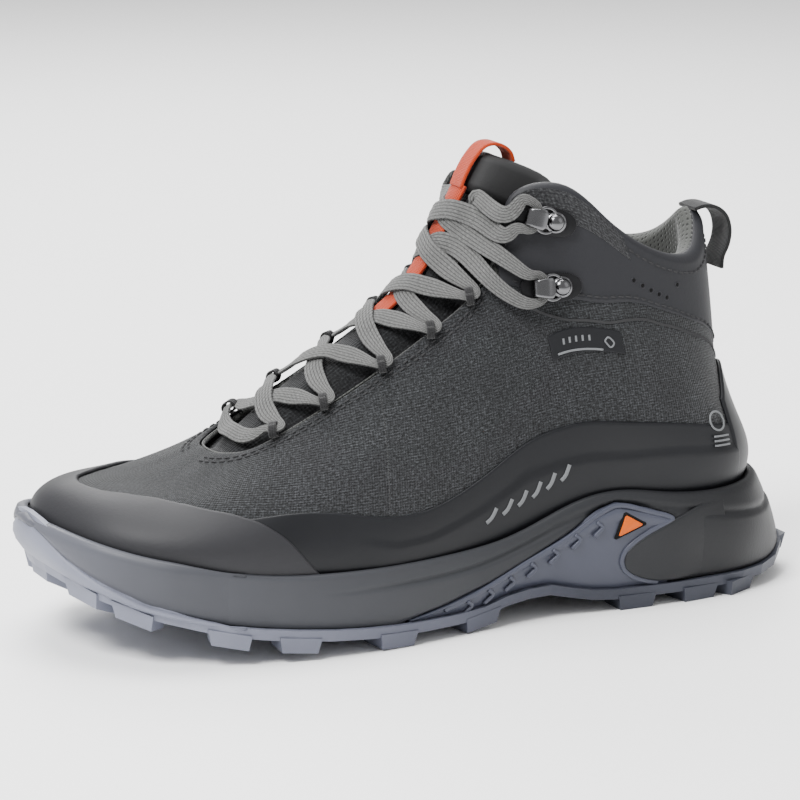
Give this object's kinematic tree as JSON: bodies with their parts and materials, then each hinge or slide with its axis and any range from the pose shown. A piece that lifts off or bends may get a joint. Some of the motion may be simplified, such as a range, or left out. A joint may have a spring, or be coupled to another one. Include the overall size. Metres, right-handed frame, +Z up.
{
  "type": "hiking boot",
  "caption": "Mid-height left hiking boot in dark grey fabric with light grey laces, orange tongue webbing and a lugged rubber sole.",
  "frame": {"origin": "on the ground, under the middle of the boot", "axes": "+X from toe to heel, +Y to the inner (medial) side, +Z up"},
  "size_m": [0.298, 0.1105, 0.1687],
  "materials": {
    "melange_fabric": "dark grey melange weave",
    "collar_synthetic": "matt synthetic leather",
    "toe_cap_synthetic": "matt synthetic leather",
    "matt_film": "matt welded film",
    "lining_knit": "soft knit",
    "foam": "cloth faced foam",
    "board": "stiff fibre board",
    "midsole_foam": "smooth moulded foam skin, light at the toe and dark at the heel",
    "outsole_rubber": "satin moulded rubber",
    "stabiliser_plastic": "satin moulded plastic",
    "orange_webbing": "woven tape",
    "orange_badge": "satin moulded",
    "black_webbing": "woven tape",
    "grey_lace": "ribbed flat lace",
    "gunmetal": "dark polished steel"
  },
  "bodies": {
    "boot": {"arch_stabiliser": "stabiliser_plastic", "badge_lateral": "orange_badge", "badge_medial": "orange_badge", "collar_foam": "foam", "collar_panel_lateral": "collar_synthetic", "collar_panel_medial": "collar_synthetic", "heel_counter": "board", "heel_overlay": "matt_film", "heel_pull_loop": "black_webbing", "hook_lateral_1": "gunmetal", "hook_lateral_2": "gunmetal", "hook_medial_1": "gunmetal", "hook_medial_2": "gunmetal", "lace": "grey_lace", "lace_loop_lateral_1": "black_webbing", "lace_loop_lateral_2": "black_webbing", "lace_loop_lateral_3": "black_webbing", "lace_loop_lateral_4": "black_webbing", "lace_loop_lateral_5": "black_webbing", "lace_loop_medial_1": "black_webbing", "lace_loop_medial_2": "black_webbing", "lace_loop_medial_3": "black_webbing", "lace_loop_medial_4": "black_webbing", "lace_loop_medial_5": "black_webbing", "lasting_board": "board", "lining": "lining_knit", "midsole": "midsole_foam", "outsole": "outsole_rubber", "quarter_lateral": "melange_fabric", "quarter_medial": "melange_fabric", "rivet_lateral_1": "gunmetal", "rivet_lateral_2": "gunmetal", "rivet_medial_1": "gunmetal", "rivet_medial_2": "gunmetal", "side_film_lateral": "matt_film", "side_film_medial": "matt_film", "toe_cap": "toe_cap_synthetic", "toe_puff": "board", "tongue_base": "melange_fabric", "tongue_webbing": "orange_webbing", "vamp": "melange_fabric"},
    "tongue_head": {"tongue_head": "collar_synthetic", "tongue_pull_loop": "orange_webbing"},
    "footbed": {"footbed": "foam"}
  },
  "joints": [
    {"name": "tongue_tilt", "type": "hinge", "parent": "boot", "child": "tongue_head", "pos_m": [0.016, 0, 0.152], "axis": [0, -1, 0], "range_deg": [0, 20]},
    {"name": "footbed_lift", "type": "slide", "parent": "boot", "child": "footbed", "axis": [0, 0, 1], "range_m": [0, 0.008]}
  ]
}
